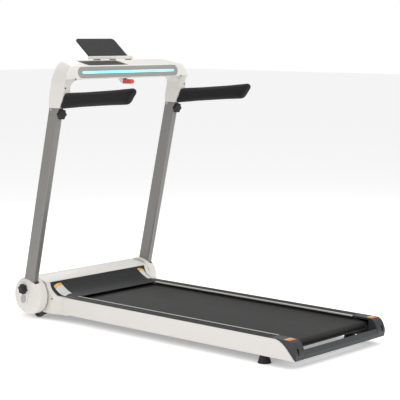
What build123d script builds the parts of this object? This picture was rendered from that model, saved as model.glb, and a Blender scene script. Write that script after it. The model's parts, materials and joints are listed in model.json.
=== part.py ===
from build123d import *
import os
from math import cos, radians, sin, sqrt, tan

# Folding home treadmill. +X runs from the motor end to the step-on end, +Z is up, and the
# origin is on the floor under the middle. The user faces -X, so -Y is the user's left.
# Side outlines are drawn from the hub axis: x measured from it, z from the floor.

# overall
overall_length = 1510.0
hub_setback = 105.0
hub_x = -overall_length / 2 + hub_setback
rear_end = overall_length - hub_setback
hub_z = 101.0
mast_lean = 12.83
slip = 0.3          # between curved faces of different bodies
running = 0.05      # radial, shaft in a hole
seam = 0.6          # between neighbouring covers

# base frame
frame_outer = 288.0
frame_tube_width = 22.0
frame_tube_height = 48.0
frame_bottom = 34.0
tube_wall = 2.0
frame_front = -60.0
frame_rear = 1368.0
ledge_depth = 26.0
ledge_thickness = 4.0
ledge_drop = 16.0
ledge_front = 215.0
ledge_rear = 1290.0
cross_tube_width = 30.0
cross_tube_height = 18.0
cross_tube_spots = (-35.0, 60.0, 700.0, 1262.0)

# running gear
belt_top = 91.0
belt_thickness = 1.6
belt_half_width = 234.0
roller_radius = 16.0
roller_wall = 2.5
roller_half_length = 240.0
front_roller_x = 130.0
rear_roller_x = 1336.0
axle_radius = 6.0
bearing_length = 11.0
deck_thickness = 15.0
deck_half_width = 260.0
deck_front = 168.0
deck_rear = 1302.0
cushion_radius = 11.0
cushion_spots = (260.0, 590.0, 920.0, 1250.0)

# drive
pulley_radius = 30.0
pulley_width = 15.0
motor_pulley_radius = 15.0
motor_x = 10.0
motor_z = 104.0
motor_radius = 42.0
motor_length = 118.0
motor_shaft_radius = 7.0
drive_belt_thickness = 3.0
motor_plate_thickness = 4.0
flywheel_radius = 36.0
flywheel_width = 13.0
board_y = 150.0

# side rails, foot strips, rear end
rail_half_width = 296.0
rail_wall = 4.0
rail_bottom = 31.0
strip_top = 105.0
strip_inner = 238.0
strip_thickness = 4.0
strip_front = 191.0
cap_front = 1285.0
cap_wall = 3.0
rear_cover_top = 67.0
rear_cover_wall = 3.5
slot_width = 9.0
slot_height = 26.0
bolt_radius = 3.0

# hood
hood_half_width = 312.0
hood_bottom = 27.0
hood_wall = 3.0
hood_front = -hub_setback + 3.0
ramp_end = 190.0
ramp_flat = 255.0
ramp_edge = 292.0
panel_wall = 2.0
panel_seat = 0.2
tray_thickness = 2.5
inlet_spot = (-200.0, 80.0)
switch_spot = (-150.0, 80.0)

# hubs
hub_radius = 82.0
hub_inner = 318.0
hub_outer = 377.0
hub_round = 27.0
hub_wall = 3.0
hub_boss_height = 3.0
boss_radius = 22.0
index_radius = 46.0
index_thickness = 6.0
pivot_radius = 8.0
pivot_plate = 5.0
knob_rise = 31.0
knob_setback = -8.0
knob_radius = 22.5
knob_thickness = 15.0
knob_lobes = 6
knob_bolt_radius = 4.0
cap_drop = 14.0

# transport wheels and feet
wheel_radius = 27.0
wheel_width = 18.0
wheel_x = 10.0
wheel_axle_radius = 5.0
foot_x = 1246.0
foot_base_radius = 26.5
foot_top_radius = 17.5
foot_neck_radius = 9.0
foot_stud_radius = 4.0

# mast
mast_half_track = 353.0
mast_depth = 60.0
mast_width = 30.0
mast_corner = 6.0
mast_foot = -32.0
mast_wall = 2.0
pin_along = 827.6
pin_forward = 13.6
pin_radius = 5.0
ear_height = 6.0
clamp_drop = 8.2

# console
leg_width = 41.0
leg_wall = 2.5
leg_bottom = 918.0
leg_front_notch = 16.0
leg_pocket_depth = 18.0
crossbar_bottom = 1036.0
console_front_top = (158.0, 1114.0)
console_rear_top = (262.0, 1091.0)
console_rear_bottom = (271.0, 1038.0)
arch_outer_radius = 100.0
arch_inner_radius = 38.0
arch_round = 4.0
tongue_radius = 41.3
tongue_boss = 13.8
tongue_width = 20.0
panel_half_length = 304.0
panel_face_height = 47.0
panel_thickness = 4.0
lens_half_length = 278.0
lens_height = 9.0
tray_half_width = 118.0
tray_centre_y = -110.0
tray_depth = 5.0
mat_thickness = 2.0

# holder
holder_width = 232.0
holder_length = 124.0
holder_thickness = 5.0
holder_slope = 39.6
ledge_width = 250.0
ledge_size = (25.0, 14.0)
holder_pin_radius = 2.5

# safety key
key_z = 1021.0
key_start = 237.0
key_end = 284.0
key_height = 20.0
key_width = 22.0
key_socket_depth = 12.0

# handles
handle_slope = 4.6
grip_height = 64.0
grip_width = 44.0
grip_start = 205.0
grip_end = 655.0
handle_tube_radius = 14.0
handle_root = (256.0, 950.5)

# fits worked out from the sizes above
frame_inner = frame_outer - frame_tube_width
frame_top = frame_bottom + frame_tube_height
ledge_z = frame_top - ledge_drop
belt_radius = roller_radius + belt_thickness
roller_z = belt_top - belt_radius
deck_top = belt_top - belt_thickness - slip
deck_bottom = deck_top - deck_thickness
cushion_y = frame_inner - ledge_depth / 2
bolt_track = frame_inner + frame_tube_width / 2 - 3.0
bearing_radius = roller_radius - roller_wall
pulley_centre = -(roller_half_length + 3.0 + pulley_width / 2)
strip_shelf = strip_top - strip_thickness
cap_window_rear = rear_roller_x + 25.0
cap_window_low = frame_bottom + 12.0
cap_window_high = strip_shelf - 3.0
rail_inner = rail_half_width - rail_wall
cross_top = frame_bottom + cross_tube_height
motor_deck = cross_top + motor_plate_thickness
pivot_plate_outer = frame_outer + pivot_plate
mast_inner = mast_half_track - mast_width / 2
mast_outer = mast_half_track + mast_width / 2
index_outer = mast_inner - 1.5
knob_seat = hub_outer + hub_boss_height + slip
wheel_inner = pivot_plate_outer + 2.0
wheel_centre = wheel_inner + wheel_width / 2
leg_inner_gap = leg_width / 2 - leg_wall
leg_half_span = mast_half_track + leg_width / 2
mast_sides = (("left", -1), ("right", 1))

u_axis = Vector(sin(radians(mast_lean)), 0, cos(radians(mast_lean)))
v_axis = Vector(cos(radians(mast_lean)), 0, -sin(radians(mast_lean)))
pin_x = pin_along * u_axis.X - pin_forward * v_axis.X
pin_z = hub_z + pin_along * u_axis.Z - pin_forward * v_axis.Z


def side_plane(y=0.0):
    """Upright plane facing -Y, with x from the hub axis and the height above the floor."""
    return Plane(origin=(hub_x, y, 0), x_dir=(1, 0, 0), z_dir=(0, -1, 0))


def floor_plane(z):
    return Plane(origin=(hub_x, 0, z))


def cross_plane(x):
    """Plane across the machine at x from the hub axis, drawn in Y and Z."""
    return Plane(origin=(hub_x + x, 0, 0), x_dir=(0, 1, 0), z_dir=(1, 0, 0))


def mast_side(y, along=0.0, back=0.0):
    """Like side_plane, turned with the mast: x to the rear of it, y up along it."""
    origin = Vector(hub_x, y, hub_z) + u_axis * along + v_axis * back
    return Plane(origin=origin, x_dir=v_axis, z_dir=(0, -1, 0))


def mast_section(y, along, back=0.0):
    """Plane square to the mast, with x to the rear and y to the user's right."""
    origin = Vector(hub_x, y, hub_z) + u_axis * along + v_axis * back
    return Plane(origin=origin, x_dir=v_axis, z_dir=u_axis)


def mast_behind(y, along, back):
    """Plane square to the mast's depth, facing the rear, with x to the user's right."""
    origin = Vector(hub_x, y, hub_z) + u_axis * along + v_axis * back
    return Plane(origin=origin, x_dir=(0, 1, 0), z_dir=v_axis)


def save(part, name):
    part.label = name
    export_step(part, f"parts/{name}.step")


def rail_end_line(inset=0.0):
    """Outline of a side rail's swept rear end, from its top to its toe."""
    return [
        (cap_front + 12 - inset, strip_shelf + 2),
        (cap_front + 59 - inset, 89),
        (cap_front + 86 - inset, 65),
        (rear_end - 3 - inset, rail_bottom),
    ]


def cap_outline(front, bottom, top, inset=0.0):
    """Side outline of the rear end, rounded down to the floor side."""
    with BuildLine() as outline:
        Line((front, bottom), (front, top))
        Line((front, top), (rear_end - 53, top))
        Spline(
            (rear_end - 53, top),
            (rear_end - 20, top - 8 - inset / 2),
            (rear_end - 3 - inset, top - 37),
            (rear_end - inset, top - 57),
            tangents=((1, 0), (0, -1)),
        )
        Line((rear_end - inset, top - 57), (rear_end - 3 - inset, bottom))
        Line((rear_end - 3 - inset, bottom), (front, bottom))
    return outline.line


os.makedirs("parts", exist_ok=True)

# base frame
for side, s in mast_sides:
    tube_y = s * (frame_inner + frame_tube_width / 2)
    tube_mid = frame_bottom + frame_tube_height / 2
    with BuildPart() as frame_tube:
        with BuildSketch(cross_plane(frame_front)):
            with Locations((tube_y, tube_mid)):
                RectangleRounded(frame_tube_width, frame_tube_height, 4)
                RectangleRounded(
                    frame_tube_width - 2 * tube_wall,
                    frame_tube_height - 2 * tube_wall,
                    2,
                    mode=Mode.SUBTRACT,
                )
        extrude(amount=frame_rear - frame_front)
        with BuildSketch(cross_plane(ledge_front)):
            with Locations((s * cushion_y, ledge_z - ledge_thickness / 2)):
                Rectangle(ledge_depth, ledge_thickness)
        extrude(amount=ledge_rear - ledge_front)
        with BuildSketch(side_plane(tube_y)):
            with Locations((front_roller_x, roller_z), (rear_roller_x, roller_z)):
                Circle(axle_radius + running)
            with Locations((rear_roller_x, roller_z)):
                SlotOverall(40, 2 * (axle_radius + running))
        extrude(amount=frame_tube_width, both=True, mode=Mode.SUBTRACT)
        with BuildSketch(floor_plane(frame_bottom)):
            with Locations((foot_x, tube_y)):
                Circle(foot_stud_radius + running)
        extrude(amount=tube_wall * 3, both=True, mode=Mode.SUBTRACT)
        # end plate that the tension bolt bears on
        with BuildSketch(cross_plane(frame_rear)):
            with Locations((tube_y, tube_mid)):
                RectangleRounded(frame_tube_width, frame_tube_height, 4)
            with Locations((s * bolt_track, roller_z)):
                Circle(bolt_radius + running, mode=Mode.SUBTRACT)
        extrude(amount=-3)
    save(frame_tube.part, f"frame_tube_{side}")

with BuildPart() as cross_tubes:
    for spot in cross_tube_spots:
        with BuildSketch(side_plane()):
            with Locations((spot, frame_bottom + cross_tube_height / 2)):
                RectangleRounded(cross_tube_width, cross_tube_height, 3)
                RectangleRounded(
                    cross_tube_width - 2 * tube_wall,
                    cross_tube_height - 2 * tube_wall,
                    1.5,
                    mode=Mode.SUBTRACT,
                )
        extrude(amount=frame_inner, both=True)
save(cross_tubes.part, "cross_tubes")

plate_front = cross_tube_spots[0] - cross_tube_width / 2
plate_rear = cross_tube_spots[1] + cross_tube_width / 2
with BuildPart() as motor_plate:
    with BuildSketch(floor_plane(cross_top)):
        with Locations(((plate_front + plate_rear) / 2, 0)):
            RectangleRounded(plate_rear - plate_front, 420, 8)
    extrude(amount=motor_plate_thickness)
    with Locations(floor_plane(motor_deck)):
        with Locations((motor_x, board_y)):
            with GridLocations(60, 70, 2, 2):
                Hole(3)
save(motor_plate.part, "motor_plate")

with BuildPart() as pivot_brackets:
    for side, s in mast_sides:
        with BuildSketch(side_plane(s * (frame_outer + pivot_plate / 2))):
            with BuildLine():
                Polyline(
                    (frame_front, frame_bottom),
                    (-12, 12),
                    (32, 12),
                    (70, frame_bottom),
                    (70, 70),
                    (30, 128),
                    (-30, 128),
                    (frame_front, 80),
                    close=True,
                )
            make_face()
            with Locations((wheel_x, wheel_radius)):
                Circle(wheel_axle_radius + running, mode=Mode.SUBTRACT)
        extrude(amount=pivot_plate / 2, both=True)
        boss_length = index_outer - pivot_plate_outer
        with BuildSketch(side_plane(s * (pivot_plate_outer + boss_length / 2))):
            with Locations((0, hub_z)):
                Circle(boss_radius)
        extrude(amount=boss_length / 2, both=True)
        with BuildSketch(side_plane(s * (index_outer - index_thickness / 2))):
            with Locations((0, hub_z)):
                Circle(index_radius)
        extrude(amount=index_thickness / 2, both=True)
        with BuildSketch(side_plane(s * frame_outer)):
            with Locations((0, hub_z)):
                Circle(pivot_radius + running)
        extrude(amount=s * -(mast_inner - frame_outer), mode=Mode.SUBTRACT)
save(pivot_brackets.part, "pivot_brackets")

with BuildPart() as pivot_bolts:
    for side, s in mast_sides:
        with BuildSketch(side_plane(s * (frame_outer + 1))):
            with Locations((0, hub_z)):
                Circle(pivot_radius)
        extrude(amount=s * -(mast_outer + 1 - frame_outer - 1))
        with BuildSketch(side_plane(s * (mast_outer + 0.5))):
            with Locations((0, hub_z)):
                RegularPolygon(12, 6)
        extrude(amount=s * -4.5)
save(pivot_bolts.part, "pivot_bolts")

# rails and strips
for side, s in mast_sides:
    wall_y = s * (rail_half_width - rail_wall / 2)
    with BuildPart() as side_rail:
        with BuildSketch(side_plane(wall_y)):
            with BuildLine():
                seam_top = (148 + seam, strip_shelf + 2)
                seam_mid = (148 + seam, 62)
                seam_toe = (184 + seam, rail_bottom)
                Line(seam_toe, rail_end_line()[-1])
                Spline(*reversed(rail_end_line()))
                Line(rail_end_line()[0], seam_top)
                Line(seam_top, seam_mid)
                Spline(seam_mid, (156 + seam, 42), seam_toe, tangents=((0, -1), (1, -0.15)))
            make_face()
        extrude(amount=rail_wall / 2, both=True)
        top_outer = side_rail.edges().filter_by(Axis.X).group_by(Axis.Z)[-1].sort_by(Axis.Y)
        fillet(top_outer[-1 if s > 0 else 0], 2.5)
        shelf_mid = (rail_inner + frame_inner + 2) / 2
        with BuildSketch(cross_plane(ledge_front)):
            with Locations((s * shelf_mid, strip_shelf - 1.5)):
                Rectangle(rail_inner - frame_inner - 2, 3)
            with Locations((s * (frame_inner + frame_tube_width / 2), (frame_top + strip_shelf) / 2)):
                Rectangle(3, strip_shelf - frame_top)
            with Locations((s * (rail_inner - 6), (rail_bottom + frame_bottom) / 2)):
                Rectangle(12, frame_bottom - rail_bottom)
        extrude(amount=cap_front - 12 - ledge_front)
        with BuildSketch(floor_plane(rail_bottom - 1)):
            with Locations((foot_x, s * (frame_inner + frame_tube_width / 2))):
                Circle(foot_neck_radius + 1)
        extrude(amount=6, mode=Mode.SUBTRACT)
    save(side_rail.part, f"side_rail_{side}")

    strip_width = rail_inner - seam - strip_inner
    with BuildPart() as foot_strip:
        with BuildSketch(cross_plane(strip_front)):
            with Locations((s * (strip_inner + strip_width / 2), strip_shelf + strip_thickness / 2)):
                Rectangle(strip_width, strip_thickness)
            with Locations((s * (strip_inner + 2.5), strip_shelf - 4)):
                Rectangle(5, 8)
        extrude(amount=cap_front - seam - strip_front)
        grooves = [strip_inner + 12 + 7 * n for n in range(6)]
        with BuildSketch(cross_plane(strip_front + 8)):
            for groove in grooves:
                with Locations((s * groove, strip_top)):
                    Rectangle(2, 1.2)
        extrude(amount=cap_front - strip_front - 16, mode=Mode.SUBTRACT)
    save(foot_strip.part, f"foot_strip_{side}")

with BuildPart() as strip_trims:
    for side, s in mast_sides:
        with BuildSketch(cross_plane(strip_front)):
            with Locations((s * (strip_inner - 1), strip_top - 1.75)):
                Rectangle(2, 4.5)
            with Locations((s * (strip_inner + 1.5), strip_top + 0.4)):
                Rectangle(5, 0.8)
        extrude(amount=cap_front - 2 - strip_front)
save(strip_trims.part, "strip_trims")

for side, s in mast_sides:
    cap_y = s * (strip_inner + rail_inner - seam) / 2
    cap_half = (rail_inner - seam - strip_inner) / 2
    with BuildPart() as end_cap:
        with BuildSketch(side_plane(cap_y)):
            with BuildLine():
                add(cap_outline(cap_front, rail_bottom, strip_top))
            make_face()
        extrude(amount=cap_half, both=True)
        fillet(end_cap.faces().sort_by(Axis.X)[-1].edges().filter_by(Plane.XZ), 1.5)
        with BuildSketch(side_plane(cap_y)):
            with BuildLine():
                add(cap_outline(cap_front - 1, rail_bottom - 1, strip_top - cap_wall, cap_wall))
            make_face()
        extrude(amount=cap_half - cap_wall, both=True, mode=Mode.SUBTRACT)
        # the rear roller's axle and the frame pass through the inner wall
        with BuildSketch(side_plane(s * strip_inner)):
            with Locations(((cap_front + cap_window_rear) / 2 - 1, (cap_window_low + cap_window_high) / 2)):
                Rectangle(cap_window_rear - cap_front + 2, cap_window_high - cap_window_low)
        extrude(amount=cap_wall * 2, both=True, mode=Mode.SUBTRACT)
        with BuildSketch(cross_plane(rear_end - 25)):
            with Locations((s * bolt_track, roller_z - 9)):
                SlotOverall(slot_height, slot_width, rotation=90)
        extrude(amount=60, mode=Mode.SUBTRACT)
    save(end_cap.part, f"end_cap_{side}")

with BuildPart() as rear_cover:
    with BuildSketch(side_plane()):
        with BuildLine():
            Polyline(
                (rear_end - 3, rail_bottom),
                (rear_end - 0.2, rear_cover_top - 19),
                (rear_end - 3.4, rear_cover_top),
                (rear_end - 3.4 - rear_cover_wall, rear_cover_top),
                (rear_end - 0.2 - rear_cover_wall, rear_cover_top - 19),
                (rear_end - 3 - rear_cover_wall, rail_bottom + 3),
                (rear_end - 40, rail_bottom + 3),
                (rear_end - 40, rail_bottom),
                close=True,
            )
        make_face()
    extrude(amount=strip_inner - seam, both=True)
    for y in (-0.75, -0.25, 0.25, 0.75):
        with BuildSketch(side_plane(y * strip_inner)):
            with BuildLine():
                Polyline(
                    (rear_end - 38, rail_bottom + 1),
                    (rear_end - 5, rail_bottom + 1),
                    (rear_end - 5, rear_cover_top - 12),
                    close=True,
                )
            make_face()
        extrude(amount=1.5, both=True)
save(rear_cover.part, "rear_cover")

with BuildPart() as tension_bolts:
    for side, s in mast_sides:
        bolt_y = s * bolt_track
        with BuildSketch(cross_plane(rear_roller_x + axle_radius + 0.5)):
            with Locations((bolt_y, roller_z)):
                Circle(bolt_radius)
        extrude(amount=rear_end - 33 - rear_roller_x)
        with BuildSketch(cross_plane(frame_rear)):
            with Locations((bolt_y, roller_z)):
                Circle(6)
        extrude(amount=8)
        with BuildSketch(cross_plane(frame_rear + 8)):
            with Locations((bolt_y, roller_z)):
                RegularPolygon(2.6, 6)
        extrude(amount=-4, mode=Mode.SUBTRACT)
save(tension_bolts.part, "tension_bolts")

# running gear
with BuildPart() as running_deck:
    with BuildSketch(floor_plane(deck_bottom)):
        with Locations(((deck_front + deck_rear) / 2, 0)):
            RectangleRounded(deck_rear - deck_front, 2 * deck_half_width, 6)
    extrude(amount=deck_thickness)
    fillet(running_deck.edges().filter_by(Axis.Y).group_by(Axis.Z)[-1], 4)
save(running_deck.part, "running_deck")

with BuildPart() as deck_cushions:
    for side, s in mast_sides:
        with BuildSketch(floor_plane(ledge_z)):
            with Locations(*[(spot, s * cushion_y) for spot in cushion_spots]):
                Circle(cushion_radius)
        extrude(amount=deck_bottom - ledge_z)
save(deck_cushions.part, "deck_cushions")

belt_length = rear_roller_x - front_roller_x
belt_mid = (rear_roller_x + front_roller_x) / 2
with BuildPart() as running_belt:
    with BuildSketch(side_plane()):
        with Locations((belt_mid, roller_z)):
            SlotCenterToCenter(belt_length, 2 * belt_radius)
            SlotCenterToCenter(belt_length, 2 * (roller_radius + slip), mode=Mode.SUBTRACT)
    extrude(amount=belt_half_width, both=True)
save(running_belt.part, "running_belt")


def roller(x):
    with BuildPart() as drum:
        with BuildSketch(side_plane()):
            with Locations((x, roller_z)):
                Circle(roller_radius)
                Circle(bearing_radius, mode=Mode.SUBTRACT)
        extrude(amount=roller_half_length, both=True)
        chamfer(drum.edges().filter_by(GeomType.CIRCLE).group_by(SortBy.LENGTH)[-1], 0.6)
    return drum.part


save(roller(front_roller_x), "front_roller")
save(roller(rear_roller_x), "rear_roller")

with BuildPart() as roller_axles:
    with BuildSketch(side_plane()):
        with Locations((front_roller_x, roller_z), (rear_roller_x, roller_z)):
            Circle(axle_radius)
    extrude(amount=frame_outer - tube_wall, both=True)
    chamfer(roller_axles.edges().filter_by(GeomType.CIRCLE), 1)
save(roller_axles.part, "roller_axles")

with BuildPart() as roller_bearings:
    for x in (front_roller_x, rear_roller_x):
        for side, s in mast_sides:
            with BuildSketch(side_plane(s * (roller_half_length - bearing_length / 2 - 1))):
                with Locations((x, roller_z)):
                    Circle(bearing_radius - running)
                    Circle(axle_radius + running, mode=Mode.SUBTRACT)
            extrude(amount=bearing_length / 2, both=True)
save(roller_bearings.part, "roller_bearings")

with BuildPart() as roller_pulley:
    with BuildSketch(side_plane(pulley_centre)):
        with Locations((front_roller_x, roller_z)):
            Circle(pulley_radius)
            Circle(axle_radius + 1, mode=Mode.SUBTRACT)
    extrude(amount=pulley_width / 2, both=True)
    with BuildSketch(side_plane(pulley_centre)):
        with Locations((front_roller_x, roller_z)):
            with PolarLocations((pulley_radius + axle_radius) / 2, 6):
                Circle(4)
    extrude(amount=pulley_width, both=True, mode=Mode.SUBTRACT)
    with BuildSketch(side_plane(-roller_half_length)):
        with Locations((front_roller_x, roller_z)):
            Circle(roller_radius - 1)
            Circle(axle_radius + 1, mode=Mode.SUBTRACT)
    extrude(amount=3)
save(roller_pulley.part, "roller_pulley")

motor_end = pulley_centre + pulley_width / 2 + 16 + motor_length
with BuildPart() as motor:
    with BuildSketch(side_plane(motor_end)):
        with Locations((motor_x, motor_z)):
            Circle(motor_radius)
    extrude(amount=motor_length)
    fillet(motor.edges().filter_by(GeomType.CIRCLE), 5)
    with BuildSketch(side_plane(motor_end - 20)):
        with Locations((motor_x, (motor_deck + motor_z - motor_radius + 12) / 2)):
            Rectangle(70, motor_z - motor_radius + 12 - motor_deck)
    extrude(amount=motor_length - 40)
    with BuildSketch(side_plane(motor_end + 1)):
        with Locations((motor_x, motor_z)):
            Circle(motor_shaft_radius + running)
    extrude(amount=motor_length + 2, mode=Mode.SUBTRACT)
save(motor.part, "motor")

with BuildPart() as motor_rotor:
    with BuildSketch(side_plane(motor_end + flywheel_width + 6)):
        with Locations((motor_x, motor_z)):
            Circle(motor_shaft_radius)
    extrude(amount=motor_end + flywheel_width + 6 - (pulley_centre - pulley_width / 2))
    with BuildSketch(side_plane(motor_end + 4 + flywheel_width)):
        with Locations((motor_x, motor_z)):
            Circle(flywheel_radius)
            with PolarLocations(flywheel_radius * 0.62, 8):
                Circle(6, mode=Mode.SUBTRACT)
    extrude(amount=flywheel_width)
    with BuildSketch(side_plane(pulley_centre)):
        with Locations((motor_x, motor_z)):
            Circle(motor_pulley_radius)
    extrude(amount=pulley_width / 2, both=True)
save(motor_rotor.part, "motor_rotor")

with BuildPart() as drive_belt:
    for grow, how in ((slip + drive_belt_thickness, Mode.ADD), (slip, Mode.SUBTRACT)):
        with BuildSketch(side_plane(pulley_centre)):
            with Locations((front_roller_x, roller_z)):
                Circle(pulley_radius + grow)
            with Locations((motor_x, motor_z)):
                Circle(motor_pulley_radius + grow)
            make_hull()
        extrude(amount=pulley_width / 2 - 1, both=True, mode=how)
save(drive_belt.part, "drive_belt")

with BuildPart() as controller_board:
    board_z = motor_deck + 8
    with BuildSketch(floor_plane(board_z)):
        with Locations((motor_x, board_y)):
            RectangleRounded(90, 110, 3)
            with GridLocations(60, 70, 2, 2):
                Circle(1.6, mode=Mode.SUBTRACT)
    extrude(amount=1.6)
    with BuildSketch(floor_plane(motor_deck)):
        with Locations((motor_x, board_y)):
            with GridLocations(60, 70, 2, 2):
                Circle(3.5)
    extrude(amount=8)
    with BuildSketch(floor_plane(board_z + 1.6)):
        with Locations((motor_x + 22, board_y)):
            Rectangle(28, 80)
        with Locations((motor_x - 20, board_y - 25)):
            Circle(11)
        with Locations((motor_x - 20, board_y + 18)):
            Rectangle(26, 34)
    extrude(amount=22)
    with BuildSketch(floor_plane(board_z + 1.6 + 22)):
        with Locations((motor_x + 22, board_y)):
            with GridLocations(28, 10, 1, 7):
                Rectangle(28, 4)
    extrude(amount=-16, mode=Mode.SUBTRACT)
save(controller_board.part, "controller_board")

# hood
def hood_profile(inset=0.0):
    """Side outline of the motor cover, with its ramp down to the side rails."""
    with BuildLine() as outline:
        front_foot = (hood_front + 7 + inset, hood_bottom)
        front_top = (hood_front + inset, 118)
        crown_front = (hood_front + 24, 163 - inset)
        crown = (28, 168 - inset)
        ramp_top = (72 - inset * 0.3, 157 - inset)
        ramp_mid = (128 - inset * 0.3, 129 - inset)
        ramp_foot = (178 - inset, 112.5 - inset)
        Line(front_foot, front_top)
        Spline(
            front_top, crown_front, crown, ramp_top, ramp_mid, ramp_foot,
            tangents=((0, 1), (1, -0.3)),
        )
        Line(ramp_foot, (188 - inset, strip_top + 4 - inset))
        Line((188 - inset, strip_top + 4 - inset), (188 - inset, 104 - inset))
        Line((188 - inset, 104 - inset), (148 - inset, 104 - inset))
        Line((148 - inset, 104 - inset), (148 - inset, 62))
        Spline(
            (148 - inset, 62), (156 - inset, 42), (184 - inset, rail_bottom),
            tangents=((0, -1), (1, -0.15)),
        )
        Line((184 - inset, rail_bottom), (180 - inset, hood_bottom))
        Line((180 - inset, hood_bottom), front_foot)
    return outline.line


ramp_tangents = ((0.62, -0.78), (1, -0.15))
side_tangents = ((0.3, -0.95), (1, -0.05))


def ramp_curve(lift=0.0):
    """The dark ramp between the crown of the hood and the running belt."""
    return [
        (68, 156.5 + lift),
        (90 + lift * 0.5, 137 + lift),
        (131, 115 + lift),
        (ramp_end, 102 + lift),
    ]


def side_curve(lift=0.0):
    """Where the ramp meets the side of the hood, lower than along its middle."""
    return [
        (66 + lift * 0.9, 155.5 + lift),
        (75 + lift * 0.7, 131 + lift),
        (103, 109.5 + lift),
        (ramp_end, 101.5 + lift),
    ]


def above(curve, tangents):
    """Closed outline of everything above a curve of the ramp."""
    with BuildLine() as outline:
        Spline(*curve, tangents=tangents)
        end_x = curve[-1][0] + 6
        Polyline(curve[-1], (end_x, curve[-1][1]), (end_x, 230), (curve[0][0], 230), curve[0])
    return outline.line


def sheet(lower, upper, tangents):
    """Closed outline between two curves of the ramp."""
    with BuildLine() as outline:
        Spline(*lower, tangents=tangents)
        Line(lower[-1], upper[-1])
        Spline(*upper, tangents=tangents)
        Line(upper[0], lower[0])
    return outline.line


def hood_plan(inset=0.0):
    """Plan outline of the hood: full width at the hubs, drawn in to the rails behind."""
    half = hood_half_width - inset
    rail = rail_half_width - inset
    nose = hood_front - 1 + inset
    with BuildLine() as outline:
        Line((hood_front + 34, -half), (90, -half))
        Spline((90, -half), (128, -half + 9), (150, -rail), tangents=((1, 0), (1, 0.05)))
        Line((150, -rail), (192, -rail))
        Line((192, -rail), (192, rail))
        Line((192, rail), (150, rail))
        Spline((150, rail), (128, half - 9), (90, half), tangents=((-1, 0.05), (-1, 0)))
        Line((90, half), (hood_front + 34, half))
        Spline((hood_front + 34, half), (nose + 9, half - 16), (nose, half - 60), tangents=((-1, 0), (0, -1)))
        Line((nose, half - 60), (nose, 60 - half))
        Spline((nose, 60 - half), (nose + 9, 16 - half), (hood_front + 34, -half), tangents=((0, -1), (1, 0)))
    return outline.line


def hood_block(inset, lift):
    with BuildPart() as block:
        with BuildSketch(side_plane()):
            with BuildLine():
                add(hood_profile(inset))
            make_face()
        extrude(amount=hood_half_width + 5, both=True)
        with BuildSketch(floor_plane(0)):
            with BuildLine():
                add(hood_plan(inset))
            make_face()
        extrude(amount=200, mode=Mode.INTERSECT)
        with BuildSketch(side_plane()):
            with BuildLine():
                add(above(ramp_curve(lift), ramp_tangents))
            make_face()
        extrude(amount=ramp_flat, both=True, mode=Mode.SUBTRACT)
        for side, s in mast_sides:
            with BuildSketch(side_plane(s * ramp_flat)):
                with BuildLine():
                    add(above(ramp_curve(lift), ramp_tangents))
                make_face()
            with BuildSketch(side_plane(s * ramp_edge)):
                with BuildLine():
                    add(above(side_curve(lift), side_tangents))
                make_face()
            loft(ruled=True, mode=Mode.SUBTRACT)
            with BuildSketch(side_plane(s * ramp_edge)):
                with BuildLine():
                    add(above(side_curve(lift + panel_wall + panel_seat), side_tangents))
                make_face()
            extrude(amount=s * -40, mode=Mode.SUBTRACT)
    return block.part


hood_outer = hood_block(0.0, 0.0)
hood_inner = hood_block(hood_wall, -hood_wall)
with BuildPart() as hood:
    add(hood_outer)
    add(hood_inner, mode=Mode.SUBTRACT)
    # open underneath
    with BuildSketch(floor_plane(hood_bottom - 1)):
        with Locations((40, 0)):
            Rectangle(272, 2 * (rail_half_width - hood_wall - 4))
    extrude(amount=hood_wall + 2, mode=Mode.SUBTRACT)
    # the running belt, the deck and the frame tubes leave through the back
    with BuildSketch(cross_plane(120)):
        with Locations((0, (hood_bottom + strip_top - 1) / 2)):
            Rectangle(2 * (rail_half_width - hood_wall - 4), strip_top - 1 - hood_bottom)
    extrude(amount=80, mode=Mode.SUBTRACT)
    for side, s in mast_sides:
        with BuildSketch(side_plane(s * hood_half_width)):
            with Locations((0, hub_z)):
                Circle(boss_radius + 0.8)
            with Locations((wheel_x, wheel_radius)):
                Circle(wheel_radius + 4)
            with Locations((wheel_x, 10)):
                Rectangle(2 * wheel_radius + 8, 40)
        extrude(amount=24, both=True, mode=Mode.SUBTRACT)
    # mains inlet and switch openings in the front wall
    with BuildSketch(cross_plane(hood_front - 5)):
        with Locations(inlet_spot):
            RectangleRounded(27.4, 20.4, 2)
        with Locations(switch_spot):
            RectangleRounded(21.4, 15.4, 1.5)
    extrude(amount=20, mode=Mode.SUBTRACT)
save(hood.part, "hood")

ramp_sheet = (ramp_curve(panel_seat), ramp_curve(panel_seat + panel_wall), ramp_tangents)
side_sheet = (side_curve(panel_seat), side_curve(panel_seat + panel_wall), side_tangents)
with BuildPart() as hood_panel:
    with BuildSketch(side_plane()):
        with BuildLine():
            add(sheet(*ramp_sheet))
        make_face()
    extrude(amount=ramp_flat, both=True)
    for side, s in mast_sides:
        with BuildSketch(side_plane(s * ramp_flat)):
            with BuildLine():
                add(sheet(*ramp_sheet))
            make_face()
        with BuildSketch(side_plane(s * (ramp_edge - 0.5))):
            with BuildLine():
                add(sheet(*side_sheet))
            make_face()
        loft(ruled=True)
save(hood_panel.part, "hood_panel")

with BuildPart() as under_tray:
    with BuildSketch(floor_plane(hood_bottom)):
        with Locations((40, 0)):
            RectangleRounded(264, 2 * (frame_inner + 8), 10)
    extrude(amount=tray_thickness)
    with BuildSketch(floor_plane(hood_bottom)):
        for spot in cross_tube_spots[:2]:
            with Locations((spot, -180), (spot, 180)):
                Circle(7)
    extrude(amount=frame_bottom - hood_bottom)
save(under_tray.part, "under_tray")

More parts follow.
